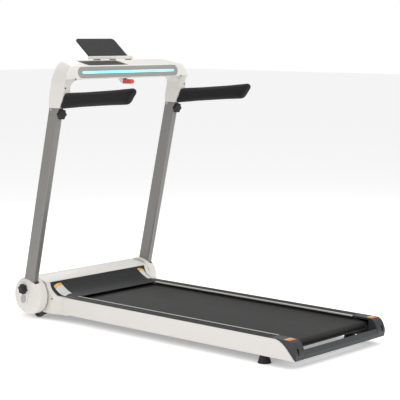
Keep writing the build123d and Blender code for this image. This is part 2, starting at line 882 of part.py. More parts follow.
inlet_x = hood_front - 1.5
with BuildPart() as power_inlet:
    with BuildSketch(cross_plane(inlet_x)):
        with Locations(inlet_spot):
            RectangleRounded(33, 26, 3)
    extrude(amount=1.8)
    with BuildSketch(cross_plane(inlet_x + 1.8)):
        with Locations(inlet_spot):
            RectangleRounded(27, 20, 2)
    extrude(amount=20)
    with BuildSketch(cross_plane(inlet_x)):
        with Locations(inlet_spot):
            RectangleRounded(22, 15, 2)
    extrude(amount=16, mode=Mode.SUBTRACT)
    with BuildSketch(cross_plane(inlet_x + 16)):
        with Locations(*[(inlet_spot[0] + dy, inlet_spot[1] + dz) for dy, dz in ((-7, -2), (0, 2), (7, -2))]):
            Rectangle(2, 4)
    extrude(amount=-9)
save(power_inlet.part, "power_inlet")

with BuildPart() as switch_frame:
    with BuildSketch(cross_plane(inlet_x)):
        with Locations(switch_spot):
            RectangleRounded(26, 20, 2)
            RectangleRounded(17, 11.4, 1, mode=Mode.SUBTRACT)
    extrude(amount=1.8)
    with BuildSketch(cross_plane(inlet_x + 1.8)):
        with Locations(switch_spot):
            RectangleRounded(21, 15, 1.5)
            RectangleRounded(17, 11.4, 1, mode=Mode.SUBTRACT)
    extrude(amount=14)
    with BuildSketch(cross_plane(inlet_x + 15.8)):
        with Locations(switch_spot):
            RectangleRounded(21, 15, 1.5)
    extrude(amount=3)
save(switch_frame.part, "switch_frame")

rocker_axis = (hub_x + inlet_x + 5, switch_spot[1])
with BuildPart() as power_switch:
    with BuildSketch(Plane(origin=(rocker_axis[0], 0, rocker_axis[1]), x_dir=(1, 0, 0), z_dir=(0, 0, 1))):
        with BuildLine():
            Polyline(
                (-6.5, switch_spot[0] - 6.8),
                (-4.2, switch_spot[0]),
                (-4.6, switch_spot[0] + 6.8),
                (3, switch_spot[0] + 6),
                (3, switch_spot[0] - 6),
                close=True,
            )
        make_face()
    extrude(amount=5.2, both=True)
    with BuildSketch(Plane(origin=(rocker_axis[0], switch_spot[0], rocker_axis[1]), z_dir=(0, 0, 1))):
        Circle(1.5)
    extrude(amount=5.5, both=True)
save(power_switch.part, "power_switch")

# wheels and feet
for side, s in mast_sides:
    with BuildPart() as wheel:
        with BuildSketch(side_plane(s * wheel_centre)):
            with Locations((wheel_x, wheel_radius)):
                Circle(wheel_radius)
                Circle(wheel_axle_radius + running, mode=Mode.SUBTRACT)
        extrude(amount=wheel_width / 2, both=True)
        fillet(wheel.edges().filter_by(GeomType.CIRCLE).group_by(SortBy.LENGTH)[-1], 4)
        for face in (-1, 1):
            with BuildSketch(side_plane(s * wheel_centre + face * wheel_width / 2)):
                with Locations((wheel_x, wheel_radius)):
                    Circle(wheel_radius - 7)
                    Circle(wheel_axle_radius + 4, mode=Mode.SUBTRACT)
            extrude(amount=face * 4, mode=Mode.SUBTRACT)
    save(wheel.part, f"wheel_{side}")

with BuildPart() as wheel_axles:
    for side, s in mast_sides:
        with BuildSketch(side_plane(s * frame_outer)):
            with Locations((wheel_x, wheel_radius)):
                Circle(wheel_axle_radius)
        extrude(amount=s * -(wheel_centre + wheel_width / 2 + 1 - frame_outer))
        with BuildSketch(side_plane(s * (wheel_centre + wheel_width / 2 + 0.5))):
            with Locations((wheel_x, wheel_radius)):
                Circle(wheel_axle_radius + 3)
        extrude(amount=s * -2.5)
save(wheel_axles.part, "wheel_axles")

with BuildPart() as rear_feet:
    for side, s in mast_sides:
        with BuildSketch(floor_plane(0)):
            with Locations((foot_x, s * (frame_inner + frame_tube_width / 2))):
                Circle(foot_base_radius)
        with BuildSketch(floor_plane(rail_bottom - slip)):
            with Locations((foot_x, s * (frame_inner + frame_tube_width / 2))):
                Circle(foot_top_radius)
        loft()
        with BuildSketch(floor_plane(rail_bottom - slip)):
            with Locations((foot_x, s * (frame_inner + frame_tube_width / 2))):
                Circle(foot_neck_radius)
        extrude(amount=frame_bottom - rail_bottom + slip)
        with BuildSketch(floor_plane(frame_bottom)):
            with Locations((foot_x, s * (frame_inner + frame_tube_width / 2))):
                Circle(foot_stud_radius)
        extrude(amount=14)
save(rear_feet.part, "rear_feet")

# mast
ear_top = pin_z + ear_height
inner_depth = mast_depth - 2 * mast_wall
inner_width = mast_width - 2 * mast_wall
for side, s in mast_sides:
    mast_y = s * mast_half_track
    with BuildPart() as upright:
        with BuildSketch(mast_section(mast_y, mast_foot)):
            RectangleRounded(mast_depth, mast_width, mast_corner)
            RectangleRounded(inner_depth, inner_width, mast_corner - mast_wall, mode=Mode.SUBTRACT)
        extrude(amount=pin_along + 60 - mast_foot)
        with BuildSketch(floor_plane(ear_top)):
            with Locations((pin_x, mast_y)):
                Rectangle(200, 60)
        extrude(amount=90, mode=Mode.SUBTRACT)
        # front wall stops below the sweep of the console's foot
        with BuildSketch(mast_behind(mast_y, pin_along + 4, -mast_depth / 2 + mast_wall + 0.4)):
            Rectangle(inner_width, 24 + 2 * ear_height)
        extrude(amount=-10, mode=Mode.SUBTRACT)
        with BuildSketch(mast_side(mast_y, pin_along, -pin_forward)):
            Circle(pin_radius + running)
        extrude(amount=mast_width, both=True, mode=Mode.SUBTRACT)
        with BuildSketch(mast_side(mast_y)):
            Circle(pivot_radius + running)
        extrude(amount=mast_width, both=True, mode=Mode.SUBTRACT)
        with BuildSketch(mast_side(mast_y)):
            with Locations((knob_setback, knob_rise)):
                Circle(knob_bolt_radius + running)
        extrude(amount=mast_width, both=True, mode=Mode.SUBTRACT)
        with BuildSketch(mast_behind(mast_y, pin_along - clamp_drop, 0)):
            Circle(knob_bolt_radius + running)
        extrude(amount=mast_depth, mode=Mode.SUBTRACT)
    save(upright.part, f"upright_{side}")

    # round hub cover that turns with the upright
    with BuildPart() as hub_cover:
        hub_mid = s * (hub_inner + hub_outer) / 2
        hub_half = (hub_outer - hub_inner) / 2
        with BuildSketch(mast_side(hub_mid)):
            Circle(hub_radius)
        extrude(amount=hub_half, both=True)
        outer_rim = hub_cover.edges().filter_by(GeomType.CIRCLE).sort_by(Axis.Y)[-1 if s > 0 else 0]
        fillet(outer_rim, hub_round)
        inner_rim = hub_cover.edges().filter_by(GeomType.CIRCLE).sort_by(Axis.Y)[0 if s > 0 else -1]
        fillet(inner_rim, 4)
        with BuildSketch(mast_side(s * hub_outer)):
            with Locations((knob_setback, knob_rise)):
                Circle(29)
            with Locations((-3, -16)):
                Circle(24)
            make_hull()
        extrude(amount=s * -hub_boss_height)
        # hollow inside
        with BuildPart(mode=Mode.PRIVATE) as hub_void:
            with BuildSketch(mast_side(hub_mid)):
                Circle(hub_radius - hub_wall)
            extrude(amount=hub_half - hub_wall, both=True)
            void_rim = hub_void.edges().filter_by(GeomType.CIRCLE).sort_by(Axis.Y)[-1 if s > 0 else 0]
            fillet(void_rim, hub_round - hub_wall)
        add(hub_void.part, mode=Mode.SUBTRACT)
        # seats on the outside of the upright
        with BuildSketch(mast_side(s * mast_outer)):
            with Locations((18, 24), (18, -18), (-18, -18)):
                Circle(5)
        extrude(amount=s * -(hub_outer - hub_wall + 1 - mast_outer))
        with BuildSketch(mast_side(s * hub_inner)):
            Circle(boss_radius + 0.8)
        extrude(amount=hub_wall * 2, both=True, mode=Mode.SUBTRACT)
        # slot that the upright leaves through, with a scoop behind it
        with BuildSketch(mast_section(mast_y, 34)):
            RectangleRounded(mast_depth + 1.6, mast_width + 1.6, mast_corner + 0.8)
        extrude(amount=70, mode=Mode.SUBTRACT)
        with BuildSketch(mast_section(mast_y, 46)):
            with Locations((mast_depth / 2, 0)):
                RectangleRounded(26, mast_width - 4, 10)
        extrude(amount=50, mode=Mode.SUBTRACT)
        with BuildSketch(mast_side(s * hub_outer)):
            with Locations((knob_setback, knob_rise)):
                Circle(knob_bolt_radius + 0.5)
        extrude(amount=12, both=True, mode=Mode.SUBTRACT)
    save(hub_cover.part, f"hub_cover_{side}")


def knob(base, reach):
    """Six-lobed hand knob with its bolt; the bolt leaves the base plane downwards."""
    with BuildPart() as grip:
        with BuildSketch(base):
            Circle(knob_radius - 4)
            with PolarLocations(knob_radius - 5.5, knob_lobes):
                Circle(5.5)
        extrude(amount=knob_thickness)
        fillet(grip.faces().sort_by(SortBy.AREA)[-1].edges(), 0.8)
        with BuildSketch(base):
            Circle(knob_bolt_radius)
        extrude(amount=-reach)
    return grip.part


for side, s in mast_sides:
    out = Plane(
        origin=mast_side(s * knob_seat, knob_rise, knob_setback).origin,
        x_dir=v_axis,
        z_dir=(0, s, 0),
    )
    save(knob(out, knob_seat - index_outer - slip), f"base_knob_{side}")

with BuildPart() as hub_caps:
    for side, s in mast_sides:
        with BuildSketch(mast_side(s * (hub_outer + hub_boss_height))):
            with Locations((-3, -cap_drop)):
                Ellipse(15, 19)
        extrude(amount=s * -1.6)
save(hub_caps.part, "hub_caps")

clamp_gap = sqrt(tongue_radius**2 - (clamp_drop - knob_bolt_radius) ** 2) + slip - pin_forward
for side, s in mast_sides:
    base = mast_behind(s * mast_half_track, pin_along - clamp_drop, mast_depth / 2 + slip)
    save(knob(base, mast_depth / 2 + slip - clamp_gap), f"top_knob_{side}")

with BuildPart() as console_pins:
    for side, s in mast_sides:
        with BuildSketch(mast_side(s * mast_half_track, pin_along, -pin_forward)):
            Circle(pin_radius)
        extrude(amount=mast_width / 2 + 1.5, both=True)
        # spacers that centre the tongue between the upright's walls
        for face in (-1, 1):
            spacer_y = s * mast_half_track + face * (tongue_width / 2 + 0.2)
            with BuildSketch(mast_side(spacer_y, pin_along, -pin_forward)):
                Circle(pin_radius + 3.5)
            extrude(amount=-face * (inner_width / 2 - tongue_width / 2 - 0.2))
save(console_pins.part, "console_pins")

# console
with BuildPart() as console_tongues:
    for side, s in mast_sides:
        with BuildSketch(side_plane(s * mast_half_track)):
            with Locations((pin_x, pin_z)):
                Circle(tongue_boss)
            with BuildLine():
                Line((pin_x, pin_z), (pin_x + tongue_radius, pin_z))
                CenterArc((pin_x, pin_z), tongue_radius, 0, -90)
                Line((pin_x, pin_z - tongue_radius), (pin_x, pin_z))
            make_face()
            with BuildLine():
                Polyline(
                    (pin_x + 3, pin_z - 1),
                    (pin_x + 3, leg_bottom + leg_pocket_depth),
                    (pin_x + tongue_radius - 3, leg_bottom + leg_pocket_depth),
                    (pin_x + tongue_radius, pin_z),
                    close=True,
                )
            make_face()
            with Locations((pin_x, pin_z)):
                Circle(pin_radius + running, mode=Mode.SUBTRACT)
        extrude(amount=tongue_width / 2, both=True)
save(console_tongues.part, "console_tongues")

panel_top = Vector(console_rear_top[0], 0, console_rear_top[1])
panel_toe = Vector(console_rear_bottom[0], 0, console_rear_bottom[1])
panel_up = (panel_top - panel_toe).normalized()
panel_out = Vector(panel_up.Z, 0, -panel_up.X)
panel_mid = (panel_top + panel_toe) * 0.5
tray_front = Vector(console_front_top[0], 0, console_front_top[1])
tray_back = (panel_top - tray_front).normalized()
tray_up = Vector(-tray_back.Z, 0, tray_back.X)
tray_mid = (tray_front + panel_top) * 0.5 + tray_back * 3
tray_length = (panel_top - tray_front).length - 22


def panel_plane(out=0.0):
    """On the console's rear face, with x to the user's right and y up the face."""
    origin = panel_mid + panel_out * out + Vector(hub_x, 0, 0)
    return Plane(origin=origin, x_dir=(0, 1, 0), z_dir=panel_out)


def tray_plane(up=0.0):
    """On the console's top face, with x to the rear."""
    origin = tray_mid + tray_up * up + Vector(hub_x, tray_centre_y, 0)
    return Plane(origin=origin, x_dir=tray_back, z_dir=tray_up)


def leg_rear_line(gap=0.0):
    """Rear edge of a console leg, from its foot up to the crossbar."""
    return [(222 + gap, leg_bottom), (243 + gap, 950), (253 + gap, 985), (253 + gap, 1012)]


handle_dir = Vector(cos(radians(handle_slope)), 0, sin(radians(handle_slope)))


def handle_plane(y, x):
    """Plane square to a handle where it passes x, with x to the user's right and y up."""
    rise = (x - handle_root[0]) * tan(radians(handle_slope))
    origin = (hub_x + x, y, handle_root[1] + rise)
    return Plane(origin=origin, x_dir=(0, 1, 0), z_dir=handle_dir)


with BuildPart() as console_arch:
    with BuildSketch(side_plane()):
        with BuildLine():
            Line((160, leg_bottom), (222, leg_bottom))
            Spline(*leg_rear_line(), console_rear_bottom)
            Line(console_rear_bottom, console_rear_top)
            Line(console_rear_top, console_front_top)
            Spline(console_front_top, (178, 1052), (173, 1010), (160, leg_bottom))
        make_face()
    extrude(amount=leg_half_span, both=True)
    # open space between the legs, under the crossbar
    inner_half = leg_half_span - leg_width
    with BuildSketch(cross_plane(100)):
        with Locations((0, (leg_bottom - 20 + crossbar_bottom) / 2)):
            Rectangle(2 * inner_half, crossbar_bottom - leg_bottom + 20)
        fillet(vertices().group_by(Axis.Y)[-1], arch_inner_radius)
    extrude(amount=220, mode=Mode.SUBTRACT)
    # rounded shoulders
    with BuildSketch(cross_plane(100)):
        shoulder_z = console_front_top[1] - arch_outer_radius
        for side, s in mast_sides:
            with Locations((s * leg_half_span, console_front_top[1])):
                Rectangle(2 * arch_outer_radius, 2 * arch_outer_radius)
            with Locations((s * (leg_half_span - arch_outer_radius), shoulder_z)):
                Circle(arch_outer_radius, mode=Mode.SUBTRACT)
    extrude(amount=220, mode=Mode.SUBTRACT)
    fillet(console_arch.edges().filter_by(lambda e: e.bounding_box().max.Z > leg_bottom + 1), arch_round)
    # pockets for the uprights' ears and the tongues, open to the front below
    for side, s in mast_sides:
        ear_pocket = (140, leg_bottom - 1, pin_z + leg_front_notch)
        tongue_pocket = (163, leg_bottom, leg_bottom + leg_pocket_depth)
        for front, low, high in (ear_pocket, tongue_pocket):
            with BuildSketch(floor_plane(low)):
                with Locations(((front + 215) / 2, s * mast_half_track)):
                    Rectangle(215 - front, 2 * leg_inner_gap)
            extrude(amount=high - low, mode=Mode.SUBTRACT)
        with BuildSketch(handle_plane(s * mast_half_track, 219)):
            Circle(handle_tube_radius + running)
        extrude(amount=60, mode=Mode.SUBTRACT)
    # display recess, with the electronics bay behind it
    with BuildSketch(panel_plane(-panel_thickness + 1)):
        SlotOverall(2 * panel_half_length + 2 * slip, panel_face_height + 2 * slip)
    extrude(amount=20, mode=Mode.SUBTRACT)
    with BuildSketch(panel_plane(-panel_thickness + 1)):
        RectangleRounded(2 * panel_half_length - 30, panel_face_height - 14, 6)
    extrude(amount=-52, mode=Mode.SUBTRACT)
    # shallow tray in the top
    with BuildSketch(tray_plane(-tray_depth)):
        RectangleRounded(tray_length, 2 * tray_half_width, 8)
    extrude(amount=30, mode=Mode.SUBTRACT)
save(console_arch.part, "console_arch")

with BuildPart() as console_panel:
    with BuildSketch(panel_plane(1 - panel_thickness)):
        SlotOverall(2 * panel_half_length, panel_face_height)
        SlotOverall(2 * lens_half_length + 2 * slip, lens_height + 2 * slip, mode=Mode.SUBTRACT)
    extrude(amount=panel_thickness)
    fillet(console_panel.faces().group_by(SortBy.AREA)[-1].sort_by(Axis.X)[-1].outer_wire().edges(), 1)
save(console_panel.part, "console_panel")

with BuildPart() as led_lens:
    with BuildSketch(panel_plane(1.2 - panel_thickness)):
        SlotOverall(2 * lens_half_length, lens_height)
    extrude(amount=panel_thickness)
    with BuildSketch(panel_plane(1 - panel_thickness)):
        SlotOverall(2 * lens_half_length + 12, lens_height + 8)
    extrude(amount=-1.5)
save(led_lens.part, "led_lens")

with BuildPart() as console_board:
    with BuildSketch(panel_plane(-panel_thickness - 8)):
        RectangleRounded(2 * panel_half_length - 90, panel_face_height - 16, 3)
    extrude(amount=-1.6)
    with BuildSketch(panel_plane(-panel_thickness - 8)):
        with GridLocations(2 * panel_half_length - 120, panel_face_height - 24, 2, 2):
            Circle(3)
    extrude(amount=9)
    with BuildSketch(panel_plane(-panel_thickness - 8)):
        with GridLocations(60, 1, 9, 1):
            Rectangle(5, 5)
    extrude(amount=1.5)
    with BuildSketch(panel_plane(-panel_thickness - 9.6)):
        with Locations((-60, 0), (60, 0)):
            Rectangle(30, 18)
    extrude(amount=-6)
save(console_board.part, "console_board")

with BuildPart() as tray_mat:
    with BuildSketch(tray_plane(-tray_depth)):
        RectangleRounded(tray_length - 1.2, 2 * tray_half_width - 1.2, 7.4)
    extrude(amount=mat_thickness)
save(tray_mat.part, "tray_mat")

# holder
holder_pivot = (143.5, 1121.5)
holder_barrel = 5.5
ledge_foot = console_front_top[1] + 0.5
ledge_rear_x = holder_pivot[0] + ledge_size[0]
with BuildPart() as holder_ledge:
    with BuildSketch(floor_plane(ledge_foot)):
        with Locations(((holder_pivot[0] - 5 + ledge_rear_x) / 2, 0)):
            Rectangle(ledge_rear_x - holder_pivot[0] + 5, ledge_width)
        fillet(vertices().group_by(Axis.X)[-1], 7)
        with Locations((holder_pivot[0], 0)):
            Rectangle(2 * holder_barrel + 2 * slip + 1, holder_width + 5, mode=Mode.SUBTRACT)
    extrude(amount=ledge_size[1])
    fillet(holder_ledge.edges().filter_by(Axis.Y).sort_by(Axis.X)[-2:], 3)
    with BuildSketch(side_plane()):
        with Locations(holder_pivot):
            Circle(holder_pin_radius)
    extrude(amount=ledge_width / 2 - 1, both=True)
save(holder_ledge.part, "holder_ledge")

lean = radians(holder_slope)
holder_face = Vector(sin(lean), 0, cos(lean))
with BuildPart() as holder_plate:
    pivot = Vector(hub_x + holder_pivot[0], 0, holder_pivot[1])
    underside = pivot - holder_face * (holder_thickness / 2)
    with BuildSketch(Plane(origin=underside, x_dir=(0, 1, 0), z_dir=holder_face)):
        with Locations((0, holder_length / 2)):
            Rectangle(holder_width, holder_length)
        fillet(vertices().group_by(Axis.Y)[-1], 16)
    extrude(amount=holder_thickness)
    with BuildSketch(side_plane()):
        with Locations(holder_pivot):
            Circle(holder_barrel)
    extrude(amount=holder_width / 2 + 1, both=True)
    with BuildSketch(side_plane()):
        with Locations(holder_pivot):
            Circle(holder_pin_radius + running)
    extrude(amount=holder_width, both=True, mode=Mode.SUBTRACT)
save(holder_plate.part, "holder_plate")

# safety key
with BuildPart() as key_socket:
    with BuildSketch(side_plane()):
        with BuildLine():
            Polyline(
                (203, crossbar_bottom),
                (key_start - 4, key_z - key_height / 2),
                (key_start - slip, key_z - key_height / 2),
                (key_start - slip, crossbar_bottom),
                close=True,
            )
        make_face()
    extrude(amount=key_width / 2 + 2, both=True)
    with BuildSketch(cross_plane(key_start - slip)):
        with Locations((0, key_z)):
            Rectangle(12 + 2 * slip, 8 + 2 * slip)
    extrude(amount=-key_socket_depth, mode=Mode.SUBTRACT)
save(key_socket.part, "key_socket")

with BuildPart() as safety_key:
    with BuildSketch(side_plane()):
        with BuildLine():
            key_low = key_z - key_height / 2
            key_high = key_z + key_height / 2
            Line((key_start, key_low), (key_end - 10, key_low))
            ThreePointArc((key_end - 10, key_low), (key_end, key_z), (key_end - 10, key_high))
            Line((key_end - 10, key_high), (key_start, key_high))
            Line((key_start, key_high), (key_start, key_low))
        make_face()
    extrude(amount=key_width / 2, both=True)
    fillet(safety_key.edges().filter_by(Axis.X), 3)
    with BuildSketch(cross_plane(key_start)):
        with Locations((0, key_z)):
            Rectangle(12, 8)
    extrude(amount=-(key_socket_depth - 1.5))
save(safety_key.part, "safety_key")

# handles
with BuildPart() as handle_tubes:
    for side, s in mast_sides:
        with BuildSketch(handle_plane(s * mast_half_track, 220)):
            Circle(handle_tube_radius)
            Circle(handle_tube_radius - mast_wall, mode=Mode.SUBTRACT)
        extrude(amount=grip_end - 220 - 40)
save(handle_tubes.part, "handle_tubes")

for side, s in mast_sides:
    with BuildPart() as grip:
        with BuildSketch(handle_plane(s * mast_half_track, grip_start)):
            RectangleRounded(grip_width, grip_height, grip_width / 2 - 2)
        extrude(amount=grip_end - grip_start + 20)
        # slanted, rounded nose
        along = Plane(
            origin=handle_plane(s * mast_half_track, grip_end).origin,
            x_dir=handle_dir,
            z_dir=(0, -1, 0),
        )
        with BuildSketch(along):
            with BuildLine():
                Polyline(
                    (-500, grip_height),
                    (-500, -grip_height),
                    (-56 - grip_height * 0.42, -grip_height),
                    (4 + grip_height * 0.42, grip_height),
                    close=True,
                )
            make_face()
        extrude(amount=grip_width, both=True, mode=Mode.INTERSECT)
        fillet(grip.faces().sort_by(Axis.X)[-1].edges(), 10)
        # root shaped to the leg
        with BuildSketch(side_plane(s * mast_half_track)):
            with BuildLine():
                Spline(*leg_rear_line(seam), (276 + seam, 1050))
                leg_foot = leg_rear_line(seam)[0]
                Polyline((276 + seam, 1050), (150, 1050), (150, 890), (leg_foot[0], 890), leg_foot)
            make_face()
        extrude(amount=grip_width, both=True, mode=Mode.SUBTRACT)
        with BuildSketch(handle_plane(s * mast_half_track, 200)):
            Circle(handle_tube_radius + slip)
        extrude(amount=grip_end - 200 - 38, mode=Mode.SUBTRACT)
    save(grip.part, f"grip_{side}")
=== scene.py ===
import json
import math

import bpy
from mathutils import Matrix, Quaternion, Vector


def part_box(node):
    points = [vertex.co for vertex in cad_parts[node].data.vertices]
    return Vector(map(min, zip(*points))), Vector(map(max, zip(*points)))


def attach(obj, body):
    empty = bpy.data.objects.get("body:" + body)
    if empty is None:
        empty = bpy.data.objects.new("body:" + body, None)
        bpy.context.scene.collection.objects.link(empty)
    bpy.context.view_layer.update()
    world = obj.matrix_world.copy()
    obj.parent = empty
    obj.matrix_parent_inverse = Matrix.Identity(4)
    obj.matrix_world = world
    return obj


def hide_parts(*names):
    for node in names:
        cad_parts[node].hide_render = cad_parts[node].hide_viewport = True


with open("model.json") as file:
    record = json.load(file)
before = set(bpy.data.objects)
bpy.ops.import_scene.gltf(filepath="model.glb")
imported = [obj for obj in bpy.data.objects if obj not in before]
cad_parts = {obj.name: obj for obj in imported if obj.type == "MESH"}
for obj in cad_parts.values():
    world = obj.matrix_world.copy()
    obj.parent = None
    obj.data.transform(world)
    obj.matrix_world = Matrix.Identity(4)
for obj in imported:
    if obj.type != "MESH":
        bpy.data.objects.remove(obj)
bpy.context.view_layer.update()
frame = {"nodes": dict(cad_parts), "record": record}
nodes = frame["nodes"]
hubX = -0.65  # the hub axis, which outlines at the motor end are measured from

# camera and light
shot = {
    "place": (3.6746, -4.1129, 1.2316), "turn": 41.6, "tilt": 7.15, "roll": 0.2,
    "lens": 120.29, "sensor": 36, "reach": 60,
}
camData = bpy.data.cameras.new("camera")
camData.lens = shot["lens"]
camData.sensor_width = shot["sensor"]
camData.clip_end = shot["reach"]
cam = bpy.data.objects.new("camera", camData)
bpy.context.scene.collection.objects.link(cam)
turn, tilt = math.radians(shot["turn"]), math.radians(shot["tilt"])
level = math.cos(tilt)
back = Vector((math.sin(turn) * level, -math.cos(turn) * level, math.sin(tilt)))
cam.location = shot["place"]
cam.rotation_mode = "QUATERNION"
roll = Quaternion((0, 0, 1), math.radians(shot["roll"]))
cam.rotation_quaternion = (-back).to_track_quat("-Z", "Y") @ roll
bpy.context.scene.camera = cam


def areaLight(name, place, target, size, watts, tint=(1, 1, 1)):
    lamp = bpy.data.lights.new(name, "AREA")
    lamp.size = size
    lamp.energy = watts
    lamp.color = tint
    lampObject = bpy.data.objects.new(name, lamp)
    lampObject.location = place
    aim = Vector(target) - Vector(place)
    lampObject.rotation_euler = aim.to_track_quat("-Z", "Y").to_euler()
    bpy.context.scene.collection.objects.link(lampObject)


areaLight("overhead", (0.6, 0.4, 3.6), (0, 0, 0.4), 3.0, 58)
areaLight("userSide", (3.2, 0.6, 2.4), (0, 0, 0.6), 1.8, 26)
areaLight("leftSide", (-0.4, -3.6, 2.2), (0, 0, 0.5), 2.0, 20)
areaLight("behind", (-3.2, 1.6, 2.0), (0, 0, 0.6), 1.6, 14)
world = bpy.data.worlds.new("studio")
world.use_nodes = True
studioLook = {"seen": 1.0, "cast": 0.6}
backdrop = world.node_tree.nodes["Background"]
backdrop.inputs["Color"].default_value = (1, 1, 1, 1)
seenBy = world.node_tree.nodes.new("ShaderNodeLightPath")
brightness = world.node_tree.nodes.new("ShaderNodeMapRange")
brightness.inputs["To Min"].default_value = studioLook["cast"]
brightness.inputs["To Max"].default_value = studioLook["seen"]
world.node_tree.links.new(seenBy.outputs["Is Camera Ray"], brightness.inputs["Value"])
world.node_tree.links.new(brightness.outputs["Result"], backdrop.inputs["Strength"])
bpy.context.scene.world = world
bpy.context.scene.view_settings.view_transform = "Standard"
print("camera and lights ready")


# shader groups shared by the finishes
def startGroup(name, inputs, outputs):
    group = bpy.data.node_groups.new(name, "ShaderNodeTree")
    for label, value in inputs.items():
        socket = group.interface.new_socket(label, in_out="INPUT", socket_type="NodeSocketFloat")
        socket.default_value = value
    for label, kind in outputs.items():
        group.interface.new_socket(label, in_out="OUTPUT", socket_type=kind)
    return group, group.nodes.new("NodeGroupInput"), group.nodes.new("NodeGroupOutput")


def mathNode(tree, operation, first, second=None, clamp=False):
    node = tree.nodes.new("ShaderNodeMath")
    node.operation = operation
    node.use_clamp = clamp
    for slot, value in enumerate((first, second)):
        if value is None:
            continue
        if isinstance(value, (int, float)):
            node.inputs[slot].default_value = value
        else:
            tree.links.new(value, node.inputs[slot])
    return node.outputs[0]


def noiseNode(tree, vector, scale, detail=3.0, roughness=0.55):
    node = tree.nodes.new("ShaderNodeTexNoise")
    node.inputs["Detail"].default_value = detail
    node.inputs["Roughness"].default_value = roughness
    if isinstance(scale, (int, float)):
        node.inputs["Scale"].default_value = scale
    else:
        tree.links.new(scale, node.inputs["Scale"])
    tree.links.new(vector, node.inputs["Vector"])
    return node.outputs["Fac"]


# moulded or painted surface: a fine grain, broad uneven tone and faint marks
grainLook = {"stretch": (9, 60, 14), "scratches": 3.0, "threshold": 0.58, "contrast": 6.0}
grainGroup, gIn, gOut = startGroup(
    "surfaceGrain",
    {"Grain Size": 900.0, "Grain Depth": 0.5, "Tone Size": 6.0, "Mark Amount": 0.2},
    {"Tone": "NodeSocketFloat", "Marks": "NodeSocketFloat", "Height": "NodeSocketFloat"},
)
coords = grainGroup.nodes.new("ShaderNodeTexCoord").outputs["Object"]
fineGrain = noiseNode(grainGroup, coords, gIn.outputs["Grain Size"], 2.0)
broadTone = noiseNode(grainGroup, coords, gIn.outputs["Tone Size"], 4.0)
scratchMap = grainGroup.nodes.new("ShaderNodeMapping")
scratchMap.inputs["Scale"].default_value = grainLook["stretch"]
grainGroup.links.new(coords, scratchMap.inputs["Vector"])
scratchNoise = noiseNode(grainGroup, scratchMap.outputs["Vector"], grainLook["scratches"], 6.0, 0.7)
scratchLine = mathNode(grainGroup, "SUBTRACT", scratchNoise, grainLook["threshold"], True)
scratchStrong = mathNode(grainGroup, "MULTIPLY", scratchLine, grainLook["contrast"], True)
markMask = mathNode(grainGroup, "MULTIPLY", scratchStrong, gIn.outputs["Mark Amount"])
grainHeight = mathNode(grainGroup, "MULTIPLY", fineGrain, gIn.outputs["Grain Depth"])
grainGroup.links.new(broadTone, gOut.inputs["Tone"])
grainGroup.links.new(markMask, gOut.inputs["Marks"])
grainGroup.links.new(grainHeight, gOut.inputs["Height"])

# dust that settles on faces that look up
dustLook = {"slope": 0.4, "gain": 1.6, "patches": 35.0, "clear": 0.35, "colour": (0.55, 0.53, 0.5)}
dustGroup, dIn, dOut = startGroup("settledDust", {"Amount": 0.3}, {"Mask": "NodeSocketFloat"})
dustCoords = dustGroup.nodes.new("ShaderNodeTexCoord")
upSplit = dustGroup.nodes.new("ShaderNodeSeparateXYZ")
dustGroup.links.new(dustCoords.outputs["Normal"], upSplit.inputs[0])
pastSlope = mathNode(dustGroup, "SUBTRACT", upSplit.outputs["Z"], dustLook["slope"], True)
lookingUp = mathNode(dustGroup, "MULTIPLY", pastSlope, dustLook["gain"], True)
dustPatches = noiseNode(dustGroup, dustCoords.outputs["Object"], dustLook["patches"], 8.0, 0.75)
dustThick = mathNode(dustGroup, "SUBTRACT", dustPatches, dustLook["clear"], True)
dustMask = mathNode(dustGroup, "MULTIPLY", lookingUp, dustThick)
dustAmount = mathNode(dustGroup, "MULTIPLY", dustMask, dIn.outputs["Amount"], True)
dustGroup.links.new(dustAmount, dOut.inputs["Mask"])


def mixColour(tree, factor, first, second, blend="MIX"):
    node = tree.nodes.new("ShaderNodeMix")
    node.data_type = "RGBA"
    node.blend_type = blend
    for socket, value in ((node.inputs[0], factor), (node.inputs[6], first), (node.inputs[7], second)):
        if isinstance(value, (int, float)):
            socket.default_value = value
        elif isinstance(value, tuple):
            socket.default_value = (*value, 1)
        else:
            tree.links.new(value, socket)
    return node.outputs[2]


roughSpread = 0.12  # from the smoothest to the roughest part of one finish


